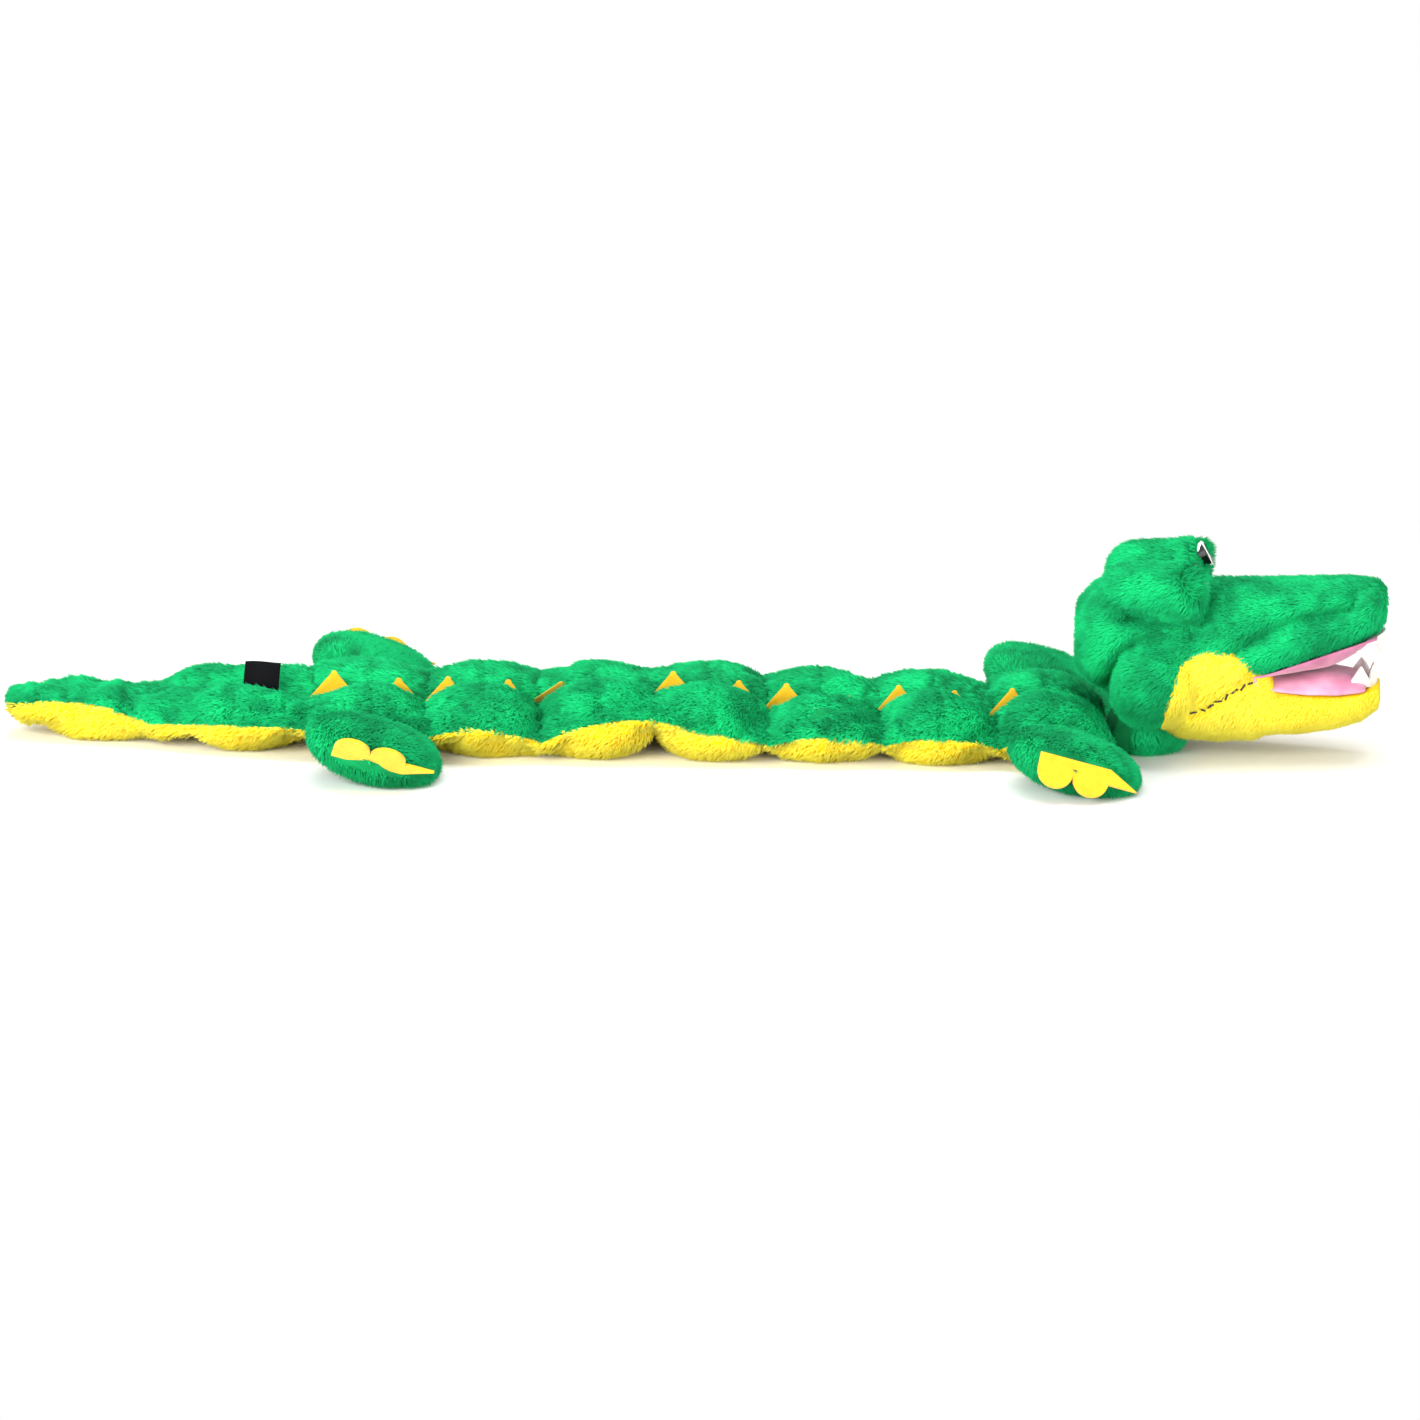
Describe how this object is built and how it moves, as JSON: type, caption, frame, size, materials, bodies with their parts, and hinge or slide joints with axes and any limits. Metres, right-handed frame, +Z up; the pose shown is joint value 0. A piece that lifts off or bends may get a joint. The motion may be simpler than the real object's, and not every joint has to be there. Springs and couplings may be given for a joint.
{
  "type": "alligator squeaky dog toy",
  "caption": "Long flat plush alligator dog toy: rows of squeaker pockets that fold at their seams, stuffed head with a hinged jaw, flapping legs and a folding tail.",
  "frame": {"origin": "centre of the bounding box on the surface that the toy lies on", "axes": "+X towards the snout, +Y towards the toy's left legs, +Z up"},
  "size_m": [0.8508, 0.3248, 0.1275],
  "materials": {
    "green_plush": "long pile plush",
    "yellow_plush": "long pile plush",
    "yellow_felt": "felt",
    "white_felt": "felt",
    "pink_lining": "smooth knitted lining",
    "woven_label": "woven, blank",
    "squeaker_plastic": "soft vinyl",
    "eye_plastic": "gloss"
  },
  "bodies": {
    "row_4": {"row_4_back": "green_plush", "row_4_belly": "yellow_plush", "row_4_squeaker_right": "squeaker_plastic", "row_4_squeaker_left": "squeaker_plastic", "row_4_spikes": "yellow_felt"},
    "row_3": {"row_3_back": "green_plush", "row_3_belly": "yellow_plush", "row_3_squeaker_right": "squeaker_plastic", "row_3_squeaker_left": "squeaker_plastic", "row_3_spikes": "yellow_felt"},
    "row_2": {"row_2_back": "green_plush", "row_2_belly": "yellow_plush", "row_2_squeaker_right": "squeaker_plastic", "row_2_squeaker_left": "squeaker_plastic", "row_2_spikes": "yellow_felt"},
    "row_1": {"row_1_back": "green_plush", "row_1_belly": "yellow_plush", "row_1_squeaker_right": "squeaker_plastic", "row_1_squeaker_left": "squeaker_plastic", "row_1_spikes": "yellow_felt"},
    "row_5": {"row_5_back": "green_plush", "row_5_belly": "yellow_plush", "row_5_squeaker_right": "squeaker_plastic", "row_5_squeaker_left": "squeaker_plastic", "row_5_spikes": "yellow_felt"},
    "row_6": {"row_6_back": "green_plush", "row_6_belly": "yellow_plush", "row_6_squeaker_right": "squeaker_plastic", "row_6_squeaker_left": "squeaker_plastic", "row_6_spikes": "yellow_felt"},
    "row_7": {"row_7_back": "green_plush", "row_7_belly": "yellow_plush", "row_7_squeaker_right": "squeaker_plastic", "row_7_squeaker_left": "squeaker_plastic", "row_7_spikes": "yellow_felt"},
    "tail_base": {"tail_base_back": "green_plush", "tail_base_belly": "yellow_plush", "tail_squeaker_right": "squeaker_plastic", "tail_squeaker_left": "squeaker_plastic", "tail_label": "woven_label"},
    "tail_tip": {"tail_tip_back": "green_plush", "tail_tip_belly": "yellow_plush"},
    "paddle_rear_right": {"leg_rear_right": "green_plush", "claws_rear_right": "yellow_felt"},
    "paddle_rear_left": {"leg_rear_left": "green_plush", "claws_rear_left": "yellow_felt"},
    "paddle_front_right": {"leg_front_right": "green_plush", "claws_front_right": "yellow_felt"},
    "paddle_front_left": {"leg_front_left": "green_plush", "claws_front_left": "yellow_felt"},
    "neck": {"chest": "green_plush"},
    "head": {"head_crown": "green_plush", "cheek_gusset": "yellow_plush", "palate_lining": "pink_lining", "upper_teeth": "white_felt", "eye_right": "eye_plastic", "eye_left": "eye_plastic"},
    "jaw": {"lower_jaw": "yellow_plush", "tongue_lining": "pink_lining", "lower_teeth": "white_felt"}
  },
  "joints": [
    {"name": "fold_4_5", "type": "hinge", "parent": "row_4", "child": "row_5", "pos_m": [0.0426, 0, 0.01333], "axis": [0, 1, 0], "range_deg": [-45, 45]},
    {"name": "fold_5_6", "type": "hinge", "parent": "row_5", "child": "row_6", "pos_m": [0.1126, 0, 0.01419], "axis": [0, 1, 0], "range_deg": [-45, 45]},
    {"name": "fold_6_7", "type": "hinge", "parent": "row_6", "child": "row_7", "pos_m": [0.1826, 0, 0.0129], "axis": [0, 1, 0], "range_deg": [-45, 45]},
    {"name": "fold_4_3", "type": "hinge", "parent": "row_4", "child": "row_3", "pos_m": [-0.0274, 0, 0.02365], "axis": [0, 1, 0], "range_deg": [-45, 45]},
    {"name": "fold_3_2", "type": "hinge", "parent": "row_3", "child": "row_2", "pos_m": [-0.0974, 0, 0.01333], "axis": [0, 1, 0], "range_deg": [-45, 45]},
    {"name": "fold_2_1", "type": "hinge", "parent": "row_2", "child": "row_1", "pos_m": [-0.1674, 0, 0.01591], "axis": [0, 1, 0], "range_deg": [-45, 45]},
    {"name": "fold_tail_base", "type": "hinge", "parent": "row_1", "child": "tail_base", "pos_m": [-0.2374, 0, 0.01892], "axis": [0, 1, 0], "range_deg": [-45, 45]},
    {"name": "fold_tail_tip", "type": "hinge", "parent": "tail_base", "child": "tail_tip", "pos_m": [-0.3374, 0, 0.01558], "axis": [0, 1, 0], "range_deg": [-45, 45]},
    {"name": "neck_fold", "type": "hinge", "parent": "row_7", "child": "neck", "pos_m": [0.2526, 0, 0.01204], "axis": [0, 1, 0], "range_deg": [-8, 25], "stiffness_Nm_per_rad": 1},
    {"name": "head_turn", "type": "hinge", "parent": "neck", "child": "head", "pos_m": [0.2726, 0, 0.03], "axis": [0, 0, 1], "range_deg": [-8, 8]},
    {"name": "jaw_open", "type": "hinge", "parent": "head", "child": "jaw", "pos_m": [0.34195, -0.00949, 0.054], "axis": [0.1356, 0.9908, 0], "range_deg": [-8, 12], "stiffness_Nm_per_rad": 0.3},
    {"name": "flap_rear_right", "type": "hinge", "parent": "row_1", "child": "paddle_rear_right", "pos_m": [-0.1974, -0.07215, 0.01741], "axis": [-1, 0, 0], "range_deg": [-15, 45]},
    {"name": "flap_rear_left", "type": "hinge", "parent": "row_1", "child": "paddle_rear_left", "pos_m": [-0.1974, 0.07215, 0.01741], "axis": [1, 0, 0], "range_deg": [-15, 45]},
    {"name": "flap_front_right", "type": "hinge", "parent": "row_7", "child": "paddle_front_right", "pos_m": [0.2276, -0.07215, 0.01247], "axis": [-1, 0, 0], "range_deg": [-15, 45]},
    {"name": "flap_front_left", "type": "hinge", "parent": "row_7", "child": "paddle_front_left", "pos_m": [0.2276, 0.07215, 0.01247], "axis": [1, 0, 0], "range_deg": [-15, 45]}
  ]
}
